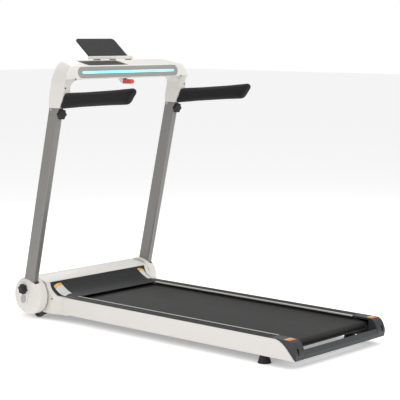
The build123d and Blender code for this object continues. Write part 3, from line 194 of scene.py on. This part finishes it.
def finish(
    name, base, second, grain, depth, rough,
    metal=0.0, marks=0.2, dust=0.15, toneSize=6.0, coat=0.0, bump=0.25, shine=0.5,
):
    material = bpy.data.materials.new(name)
    material.use_nodes = True
    tree = material.node_tree
    shader = tree.nodes["Principled BSDF"]
    surface = tree.nodes.new("ShaderNodeGroup")
    surface.node_tree = grainGroup
    amounts = {"Grain Size": grain, "Grain Depth": depth, "Tone Size": toneSize, "Mark Amount": marks}
    for label, value in amounts.items():
        surface.inputs[label].default_value = value
    dustNode = tree.nodes.new("ShaderNodeGroup")
    dustNode.node_tree = dustGroup
    dustNode.inputs["Amount"].default_value = dust
    toned = mixColour(tree, surface.outputs["Tone"], base, second)
    dusted = mixColour(tree, dustNode.outputs["Mask"], toned, dustLook["colour"])
    tree.links.new(dusted, shader.inputs["Base Color"])
    roughTone = mathNode(tree, "MULTIPLY", surface.outputs["Tone"], roughSpread)
    roughSum = mathNode(tree, "ADD", roughTone, rough - roughSpread / 2)
    roughScratch = mathNode(tree, "MULTIPLY", surface.outputs["Marks"], 0.25)
    roughMarks = mathNode(tree, "ADD", roughSum, roughScratch, True)
    tree.links.new(roughMarks, shader.inputs["Roughness"])
    shader.inputs["Metallic"].default_value = metal
    shader.inputs["Coat Weight"].default_value = coat
    shader.inputs["Specular IOR Level"].default_value = shine
    bumpNode = tree.nodes.new("ShaderNodeBump")
    bumpNode.inputs["Strength"].default_value = bump
    bumpNode.inputs["Distance"].default_value = 0.0006
    tree.links.new(surface.outputs["Height"], bumpNode.inputs["Height"])
    tree.links.new(bumpNode.outputs["Normal"], shader.inputs["Normal"])
    return material


shellLight = finish(
    "shellLight", (0.70, 0.675, 0.635), (0.75, 0.73, 0.69),
    1400, 0.5, 0.36, marks=0.12, dust=0.05, coat=0.1,
)
shellDark = finish(
    "shellDark", (0.006, 0.0065, 0.007), (0.012, 0.0125, 0.013),
    700, 1.0, 0.5, marks=0.25, dust=0.06, bump=0.6, shine=0.35,
)
capGrey = finish(
    "capGrey", (0.024, 0.028, 0.030), (0.034, 0.038, 0.041),
    900, 0.8, 0.42, marks=0.25, dust=0.07, bump=0.4, shine=0.4,
)
mastPaint = finish(
    "mastPaint", (0.215, 0.210, 0.200), (0.245, 0.240, 0.230),
    520, 0.8, 0.38, metal=0.35, marks=0.15, dust=0.06, coat=0.15,
)
framePaint = finish(
    "framePaint", (0.02, 0.02, 0.021), (0.035, 0.035, 0.036),
    380, 1.0, 0.45, metal=0.2, bump=0.5,
)
zincSteel = finish("zincSteel", (0.55, 0.54, 0.5), (0.68, 0.67, 0.63), 160, 0.6, 0.32, metal=1.0, marks=0.5)
blackRubber = finish("blackRubber", (0.014, 0.014, 0.014), (0.024, 0.024, 0.023), 600, 0.8, 0.72, bump=0.5)
silverTrim = finish(
    "silverTrim", (0.36, 0.355, 0.345), (0.42, 0.415, 0.405),
    1100, 0.4, 0.3, metal=0.55, coat=0.3,
)
redGloss = finish("redGloss", (0.56, 0.035, 0.02), (0.62, 0.05, 0.03), 900, 0.3, 0.28, coat=0.4)
motorBlack = finish("motorBlack", (0.015, 0.015, 0.016), (0.03, 0.03, 0.032), 300, 0.8, 0.35, coat=0.2)
boardGreen = finish("boardGreen", (0.01, 0.09, 0.035), (0.02, 0.14, 0.05), 220, 1.0, 0.35, coat=0.3)
wheelPlastic = finish(
    "wheelPlastic", (0.02, 0.02, 0.02), (0.04, 0.04, 0.04),
    500, 0.9, 0.5, marks=0.6, dust=0.3,
)
print("plain finishes ready")


# running belt: fine embossed weave, worn lighter along the walking lane
def beltFinish():
    look = {
        "pitch": 1400.0, "lane": 0.16, "dark": (0.009, 0.0085, 0.008),
        "worn": (0.021, 0.020, 0.019), "rough": 0.46, "roughSpread": 0.2,
    }
    material = bpy.data.materials.new("beltWeave")
    material.use_nodes = True
    tree = material.node_tree
    shader = tree.nodes["Principled BSDF"]
    place = tree.nodes.new("ShaderNodeTexCoord").outputs["Object"]
    ridges = []
    for angle in (45, -45):
        turned = tree.nodes.new("ShaderNodeMapping")
        turned.inputs["Rotation"].default_value = (0, 0, math.radians(angle))
        tree.links.new(place, turned.inputs["Vector"])
        wave = tree.nodes.new("ShaderNodeTexWave")
        wave.inputs["Scale"].default_value = look["pitch"] / 10
        wave.inputs["Distortion"].default_value = 0.4
        tree.links.new(turned.outputs["Vector"], wave.inputs["Vector"])
        ridges.append(wave.outputs["Fac"])
    weave = mathNode(tree, "MAXIMUM", ridges[0], ridges[1])
    streakMap = tree.nodes.new("ShaderNodeMapping")
    streakMap.inputs["Scale"].default_value = (1.2, 34, 1)
    tree.links.new(place, streakMap.inputs["Vector"])
    streaks = noiseNode(tree, streakMap.outputs["Vector"], 2.2, 6.0, 0.65)
    split = tree.nodes.new("ShaderNodeSeparateXYZ")
    tree.links.new(place, split.inputs[0])
    sideways = mathNode(tree, "ABSOLUTE", split.outputs["Y"])
    lane = mathNode(tree, "SUBTRACT", 1.0, mathNode(tree, "DIVIDE", sideways, look["lane"]), True)
    wear = mathNode(tree, "MULTIPLY", mathNode(tree, "ADD", lane, 0.35), streaks, True)
    tree.links.new(mixColour(tree, wear, look["dark"], look["worn"]), shader.inputs["Base Color"])
    streakRough = mathNode(tree, "MULTIPLY", streaks, look["roughSpread"])
    tree.links.new(mathNode(tree, "ADD", streakRough, look["rough"]), shader.inputs["Roughness"])
    shader.inputs["Specular IOR Level"].default_value = 0.3
    bumpNode = tree.nodes.new("ShaderNodeBump")
    bumpNode.inputs["Strength"].default_value = 0.5
    bumpNode.inputs["Distance"].default_value = 0.0005
    tree.links.new(weave, bumpNode.inputs["Height"])
    tree.links.new(bumpNode.outputs["Normal"], shader.inputs["Normal"])
    return material


# closed-cell foam: round pores of two sizes over a matt black skin
def foamFinish():
    look = {
        "pores": 420.0, "dark": (0.005, 0.005, 0.005), "light": (0.013, 0.0125, 0.012),
        "rough": 0.72, "roughSpread": 0.15,
    }
    material = bpy.data.materials.new("gripFoam")
    material.use_nodes = True
    tree = material.node_tree
    shader = tree.nodes["Principled BSDF"]
    place = tree.nodes.new("ShaderNodeTexCoord").outputs["Object"]
    pores = tree.nodes.new("ShaderNodeTexVoronoi")
    pores.inputs["Scale"].default_value = look["pores"]
    tree.links.new(place, pores.inputs["Vector"])
    soft = noiseNode(tree, place, 90.0, 6.0, 0.7)
    height = mathNode(tree, "ADD", mathNode(tree, "MULTIPLY", pores.outputs["Distance"], 0.8), soft)
    tree.links.new(mixColour(tree, soft, look["dark"], look["light"]), shader.inputs["Base Color"])
    poreRough = mathNode(tree, "MULTIPLY", pores.outputs["Distance"], look["roughSpread"])
    tree.links.new(mathNode(tree, "ADD", poreRough, look["rough"]), shader.inputs["Roughness"])
    shader.inputs["Sheen Weight"].default_value = 0.06
    shader.inputs["Specular IOR Level"].default_value = 0.25
    shader.inputs["Sheen Roughness"].default_value = 0.5
    bumpNode = tree.nodes.new("ShaderNodeBump")
    bumpNode.inputs["Strength"].default_value = 0.7
    bumpNode.inputs["Distance"].default_value = 0.0008
    tree.links.new(height, bumpNode.inputs["Height"])
    tree.links.new(bumpNode.outputs["Normal"], shader.inputs["Normal"])
    return material


# lit display strip: small cells along it, with a cloudy glow
def lensFinish():
    look = {"cells": 36.0, "bright": (0.30, 0.95, 1.0), "deep": (0.10, 0.62, 0.72), "power": 1.1}
    material = bpy.data.materials.new("stripGlow")
    material.use_nodes = True
    tree = material.node_tree
    shader = tree.nodes["Principled BSDF"]
    place = tree.nodes.new("ShaderNodeTexCoord").outputs["Object"]
    bands = tree.nodes.new("ShaderNodeTexWave")
    bands.bands_direction = "Y"
    bands.inputs["Scale"].default_value = look["cells"]
    tree.links.new(place, bands.inputs["Vector"])
    cloud = noiseNode(tree, place, 12.0, 2.0)
    glow = mathNode(tree, "ADD", mathNode(tree, "MULTIPLY", bands.outputs["Fac"], 0.25), cloud, True)
    tint = mixColour(tree, glow, look["deep"], look["bright"])
    tree.links.new(tint, shader.inputs["Base Color"])
    tree.links.new(tint, shader.inputs["Emission Color"])
    shader.inputs["Emission Strength"].default_value = look["power"]
    shader.inputs["Roughness"].default_value = 0.2
    return material


# laminated deck board: long grain on its faces, plies on its edges
def deckFinish():
    look = {
        "plies": 95.0, "dark": (0.20, 0.12, 0.065), "light": (0.36, 0.24, 0.14), "plyShare": 0.4,
        "grainShare": 0.7, "rough": 0.45, "roughSpread": 0.2,
    }
    material = bpy.data.materials.new("deckBoard")
    material.use_nodes = True
    tree = material.node_tree
    shader = tree.nodes["Principled BSDF"]
    place = tree.nodes.new("ShaderNodeTexCoord").outputs["Object"]
    longMap = tree.nodes.new("ShaderNodeMapping")
    longMap.inputs["Scale"].default_value = (2, 40, 40)
    tree.links.new(place, longMap.inputs["Vector"])
    grain = noiseNode(tree, longMap.outputs["Vector"], 2.0, 8.0, 0.6)
    plies = tree.nodes.new("ShaderNodeTexWave")
    plies.bands_direction = "Z"
    plies.inputs["Scale"].default_value = look["plies"]
    tree.links.new(place, plies.inputs["Vector"])
    plyPart = mathNode(tree, "MULTIPLY", plies.outputs["Fac"], look["plyShare"])
    grainPart = mathNode(tree, "MULTIPLY", grain, look["grainShare"])
    blend = mathNode(tree, "ADD", plyPart, grainPart, True)
    tree.links.new(mixColour(tree, blend, look["dark"], look["light"]), shader.inputs["Base Color"])
    grainRough = mathNode(tree, "MULTIPLY", grain, look["roughSpread"])
    tree.links.new(mathNode(tree, "ADD", grainRough, look["rough"]), shader.inputs["Roughness"])
    bumpNode = tree.nodes.new("ShaderNodeBump")
    bumpNode.inputs["Strength"].default_value = 0.3
    bumpNode.inputs["Distance"].default_value = 0.0005
    tree.links.new(grain, bumpNode.inputs["Height"])
    tree.links.new(bumpNode.outputs["Normal"], shader.inputs["Normal"])
    return material


beltWeave, gripFoam, stripGlow, deckBoard = beltFinish(), foamFinish(), lensFinish(), deckFinish()

slotFinish = {
    "light_plastic": shellLight, "dark_plastic": shellDark, "cap_plastic": capGrey,
    "black_rubber": blackRubber,
    "foam": gripFoam, "grey_paint": mastPaint, "frame_paint": framePaint, "zinc_steel": zincSteel,
    "silver_trim": silverTrim, "lens": stripGlow, "red_plastic": redGloss, "deck_wood": deckBoard,
    "motor_steel": motorBlack, "board": boardGreen, "belt": beltWeave, "drive_rubber": blackRubber,
    "wheel_plastic": wheelPlastic,
}
nodeSlot = {entry["node"]: entry["material_slot"] for entry in frame["record"]["subparts"]}
for name, nodeObject in nodes.items():
    for materialSlot in nodeObject.material_slots:
        materialSlot.material = slotFinish[nodeSlot[name]]
print("finishes on", len(nodes), "cad pieces")


# ways of working on a piece
def only(piece):
    bpy.ops.object.select_all(action="DESELECT")
    piece.select_set(True)
    bpy.context.view_layer.objects.active = piece


def pickFaces(piece, wanted):
    only(piece)
    bpy.ops.object.mode_set(mode="EDIT")
    bpy.ops.mesh.select_mode(type="FACE")
    bpy.ops.mesh.select_all(action="DESELECT")
    bpy.ops.object.mode_set(mode="OBJECT")
    for face in piece.data.polygons:
        face.select = wanted(face)
    bpy.ops.object.mode_set(mode="EDIT")


def useModifier(piece, kind, **settings):
    only(piece)
    modifier = piece.modifiers.new(kind.lower(), kind)
    for setting, value in settings.items():
        setattr(modifier, setting, value)
    bpy.ops.object.modifier_apply(modifier=modifier.name)


def seat(piece, name, material, body, place=(0, 0, 0), facing=(0, 0, 1)):
    only(piece)
    piece.name = name
    piece.rotation_mode = "QUATERNION"
    piece.rotation_quaternion = Vector((0, 0, 1)).rotation_difference(Vector(facing))
    piece.location = place
    bpy.ops.object.transform_apply(location=True, rotation=True, scale=True)
    piece.data.materials.clear()
    piece.data.materials.append(material)
    bpy.ops.object.shade_smooth_by_angle(angle=math.radians(35))
    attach(piece, body)


def copyOf(piece):
    twin = bpy.data.objects.new(piece.name + ".twin", piece.data.copy())
    bpy.context.scene.collection.objects.link(twin)
    return twin


def barrel(radius, depth, middle=0.0, sides=32):
    bpy.ops.object.select_all(action="DESELECT")
    bpy.ops.mesh.primitive_cylinder_add(vertices=sides, radius=radius, depth=depth, location=(0, 0, middle))
    piece = bpy.context.object
    bpy.ops.object.transform_apply(location=True)
    return piece


def cutWith(piece, cutters):
    for cutter in cutters:
        useModifier(piece, "BOOLEAN", operation="DIFFERENCE", object=cutter, solver="EXACT")
        bpy.data.objects.remove(cutter)


# cross-head screws
screwLook = {"head": 0.0034, "rise": 0.0022, "sunk": 0.0008, "bar": 0.0008, "cross": 1.3, "deep": 0.0012}


def screwHead():
    head = barrel(screwLook["head"], screwLook["rise"], screwLook["rise"] / 2 - screwLook["sunk"])
    useModifier(head, "BEVEL", width=0.0006, segments=3, limit_method="ANGLE")
    top = screwLook["rise"] - screwLook["sunk"]
    bars = []
    long, short = screwLook["cross"] * screwLook["head"], screwLook["bar"]
    for wide, tall in ((long, short), (short, long)):
        bpy.ops.object.select_all(action="DESELECT")
        reach = (wide, tall, 2 * screwLook["deep"])
        bpy.ops.mesh.primitive_cube_add(size=1, location=(0, 0, top), scale=reach)
        bars.append(bpy.context.object)
    cutWith(head, bars)
    return head


screwSpots = [
    ("hoodScrewLeft", "base", (hubX + 0.1007, -0.312, 0.093), (0, -1, 0)),
    ("hoodScrewRight", "base", (hubX + 0.1007, 0.312, 0.093), (0, 1, 0)),
    ("archScrewLeftLow", "console", (-0.3972, -0.3624, 1.0014), (1, 0, 0)),
    ("archScrewRightLow", "console", (-0.3972, 0.3624, 1.0014), (1, 0, 0)),
    ("archScrewLeftHigh", "console", (-0.3797, -0.3213, 1.0386), (0.95, 0, -0.32)),
    ("archScrewRightHigh", "console", (-0.3797, 0.3213, 1.0386), (0.95, 0, -0.32)),
]
firstScrew = screwHead()
for name, body, place, facing in screwSpots:
    seat(copyOf(firstScrew), name, shellDark, body, place, facing)
bpy.data.objects.remove(firstScrew)
print("screws ready")


# dished centre caps on the hub knobs
knobCapLook = {"radius": 0.0095, "rise": 0.0035, "sunk": 0.001, "rim": 0.002, "dish": 0.0012}


def knobCap():
    look = knobCapLook
    cap = barrel(look["radius"], look["rise"], look["rise"] / 2 - look["sunk"], 48)
    useModifier(cap, "BEVEL", width=0.0008, segments=3, limit_method="ANGLE")
    pickFaces(cap, lambda face: face.normal.z > 0.99 and face.area > 0.0001)
    bpy.ops.mesh.inset(thickness=look["rim"])
    bpy.ops.transform.translate(value=(0, 0, -look["dish"]))
    bpy.ops.mesh.inset(thickness=look["rim"])
    bpy.ops.transform.translate(value=(0, 0, look["dish"] / 2))
    bpy.ops.object.mode_set(mode="OBJECT")
    return cap


firstCap = knobCap()
for side, s in (("left", -1), ("right", 1)):
    knobLow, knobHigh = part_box("base_knob_" + side)
    middle = (knobLow + knobHigh) / 2
    outerFace = knobLow.y if s < 0 else knobHigh.y
    place = (middle.x, outerFace, middle.z)
    seat(copyOf(firstCap), "knob_cap_" + side, capGrey, "base_knob_" + side, place, (0, s, 0))
bpy.data.objects.remove(firstCap)
print("knob caps ready")


# black rubber blocks between the holder ledge and the front edge of the console, as painted shade: they lay a
# dark band where the ledge shades the console top
ledgeShadeLook = {
    "long": 0.034, "deep": 0.0085, "sunk": 0.0055, "into": 0.0006, "spread": 0.095,
    "round": 0.0012, "inset": 0.0008,
}


# one black block of painted shade for under the ledge
def ledgeShadeBlock():
    look = ledgeShadeLook
    bpy.ops.object.select_all(action="DESELECT")
    bpy.ops.mesh.primitive_cube_add(size=1, scale=(look["deep"], look["long"], look["sunk"]))
    rubber = bpy.context.object
    bpy.ops.object.transform_apply(scale=True)
    pickFaces(rubber, lambda face: face.normal.z < -0.9)
    bpy.ops.transform.resize(value=(0.8, 1.08, 1))
    bpy.ops.object.mode_set(mode="OBJECT")
    useModifier(rubber, "BEVEL", width=look["round"], segments=3, limit_method="ANGLE")
    return rubber


# three blocks of painted shade spread along the ledge
firstShadeBlock = ledgeShadeBlock()
ledgeLow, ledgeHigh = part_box("holder_ledge")
for name, y in (("left", -ledgeShadeLook["spread"]), ("middle", 0), ("right", ledgeShadeLook["spread"])):
    x = ledgeHigh.x - ledgeShadeLook["deep"] / 2 - ledgeShadeLook["inset"]
    place = (x, y, ledgeLow.z + ledgeShadeLook["into"] - ledgeShadeLook["sunk"] / 2)
    seat(copyOf(firstShadeBlock), "ledge_shade_block_" + name, blackRubber, "console", place)
bpy.data.objects.remove(firstShadeBlock)
print("ledge shade_blocks ready")


# foam grips: the sleeve swells a little between its ends
foamLook = {"voxel": 0.0045, "cap": 0.0022, "pressure": 4.0, "stiff": 40, "frames": 20, "fill": 0.9}


def foamGrip(side):
    sleeve = copyOf(nodes["grip_" + side])
    sleeve.name = "foam_grip_" + side
    only(sleeve)
    bpy.ops.object.mode_set(mode="EDIT")
    bpy.ops.mesh.select_all(action="SELECT")
    bpy.ops.mesh.remove_doubles(threshold=0.00005)
    bpy.ops.object.mode_set(mode="OBJECT")
    useModifier(sleeve, "REMESH", mode="VOXEL", voxel_size=foamLook["voxel"], use_smooth_shade=True)
    useModifier(sleeve, "SMOOTH", factor=0.5, iterations=3)
    before = [vertex.co.copy() for vertex in sleeve.data.vertices]
    only(sleeve)
    cloth = sleeve.modifiers.new("cloth", "CLOTH")
    cloth.settings.use_pressure = True
    cloth.settings.uniform_pressure_force = foamLook["pressure"]
    cloth.settings.effector_weights.gravity = 0
    cloth.settings.tension_stiffness = foamLook["stiff"]
    cloth.settings.compression_stiffness = foamLook["stiff"]
    cloth.point_cache.frame_start = 1
    cloth.point_cache.frame_end = foamLook["frames"]
    for step in range(1, foamLook["frames"] + 1):
        bpy.context.scene.frame_set(step)
    bpy.ops.object.modifier_apply(modifier=cloth.name)
    for vertex, start in zip(sleeve.data.vertices, before):
        moved = vertex.co - start
        if moved.length > foamLook["cap"]:
            vertex.co = start + moved.normalized() * foamLook["cap"]
    bpy.context.scene.frame_set(1)
    useModifier(sleeve, "SUBSURF", levels=1, render_levels=1)
    seat(sleeve, "foam_grip_" + side, gripFoam, "console")
    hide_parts("grip_" + side)


for side in ("left", "right"):
    foamGrip(side)
print("foam grips ready")


# generic stickers, laid on the shell below them
def sticker(name, corners, target, body, material, lay, rows=(14, 14)):
    bpy.ops.object.select_all(action="DESELECT")
    bpy.ops.mesh.primitive_grid_add(x_subdivisions=rows[0], y_subdivisions=rows[1], size=1)
    patch = bpy.context.object
    low, right, far, left = (Vector(corner) for corner in corners)
    for vertex in patch.data.vertices:
        across, up = vertex.co.x + 0.5, vertex.co.y + 0.5
        nearEdge, farEdge = low.lerp(right, across), left.lerp(far, across)
        vertex.co = nearEdge.lerp(farEdge, up)
    useModifier(patch, "SHRINKWRAP", wrap_method="PROJECT", target=target, offset=0.0003, **lay)
    useModifier(patch, "SOLIDIFY", thickness=0.0002, offset=1)
    seat(patch, name, material, body)


stickerYellow = finish(
    "stickerYellow", (0.72, 0.36, 0.04), (0.80, 0.43, 0.06),
    800, 0.3, 0.35, coat=0.3, dust=0.05,
)
stickerRed = finish("stickerRed", (0.55, 0.10, 0.04), (0.62, 0.14, 0.05), 800, 0.3, 0.35, coat=0.3, dust=0.05)
stickerPale = finish(
    "stickerPale", (0.58, 0.58, 0.57), (0.66, 0.66, 0.65),
    800, 0.3, 0.35, coat=0.3, dust=0.05,
)
downward = {
    "use_project_z": True, "use_project_x": False, "use_project_y": False,
    "use_negative_direction": True, "use_positive_direction": False,
}
above = 0.25  # height from which the stickers drop onto the shell
rampSpots = {"inner": 0.237, "outer": 0.278, "top": 0.0765, "split": 0.088, "bottom": 0.147}
capSpots = {"inner": 0.246, "outer": 0.2885, "back": 0.694, "split": 0.709, "front": 0.722}


def layBand(name, side, start, end, spots, target, colour):
    s = -1 if side == "left" else 1
    inner, outer = s * spots["inner"], s * spots["outer"]
    corners = [(start, inner, above), (end, inner, above), (end, outer, above), (start, outer, above)]
    facingUp = corners if s > 0 else corners[::-1]
    sticker(name + side, facingUp, target, "base", colour, downward)


for side in ("left", "right"):
    ramp, endCap = nodes["hood_panel"], nodes["end_cap_" + side]
    rampTop, rampSplit, rampFoot = (hubX + rampSpots[key] for key in ("top", "split", "bottom"))
    layBand("ramp_sticker_top_", side, rampTop, rampSplit, rampSpots, ramp, stickerYellow)
    layBand("ramp_sticker_foot_", side, rampSplit, rampFoot, rampSpots, ramp, stickerPale)
    layBand("cap_sticker_top_", side, capSpots["back"], capSpots["split"], capSpots, endCap, stickerYellow)
    layBand("cap_sticker_foot_", side, capSpots["split"], capSpots["front"], capSpots, endCap, stickerRed)
print("stickers ready")

# floor
floorLook = {"size": 60.0, "colour": (0.90, 0.90, 0.90), "glow": 0.36}
bpy.ops.object.select_all(action="DESELECT")
bpy.ops.mesh.primitive_plane_add(size=floorLook["size"], location=(0, 0, -0.0005))
floor = bpy.context.object
floor.name = "floor"
floorMaterial = bpy.data.materials.new("floorPale")
floorMaterial.use_nodes = True
floorShader = floorMaterial.node_tree.nodes["Principled BSDF"]
floorShader.inputs["Base Color"].default_value = (*floorLook["colour"], 1)
floorShader.inputs["Roughness"].default_value = 0.8
floorShader.inputs["Emission Color"].default_value = (1, 1, 1, 1)
floorShader.inputs["Emission Strength"].default_value = floorLook["glow"]
floor.data.materials.append(floorMaterial)
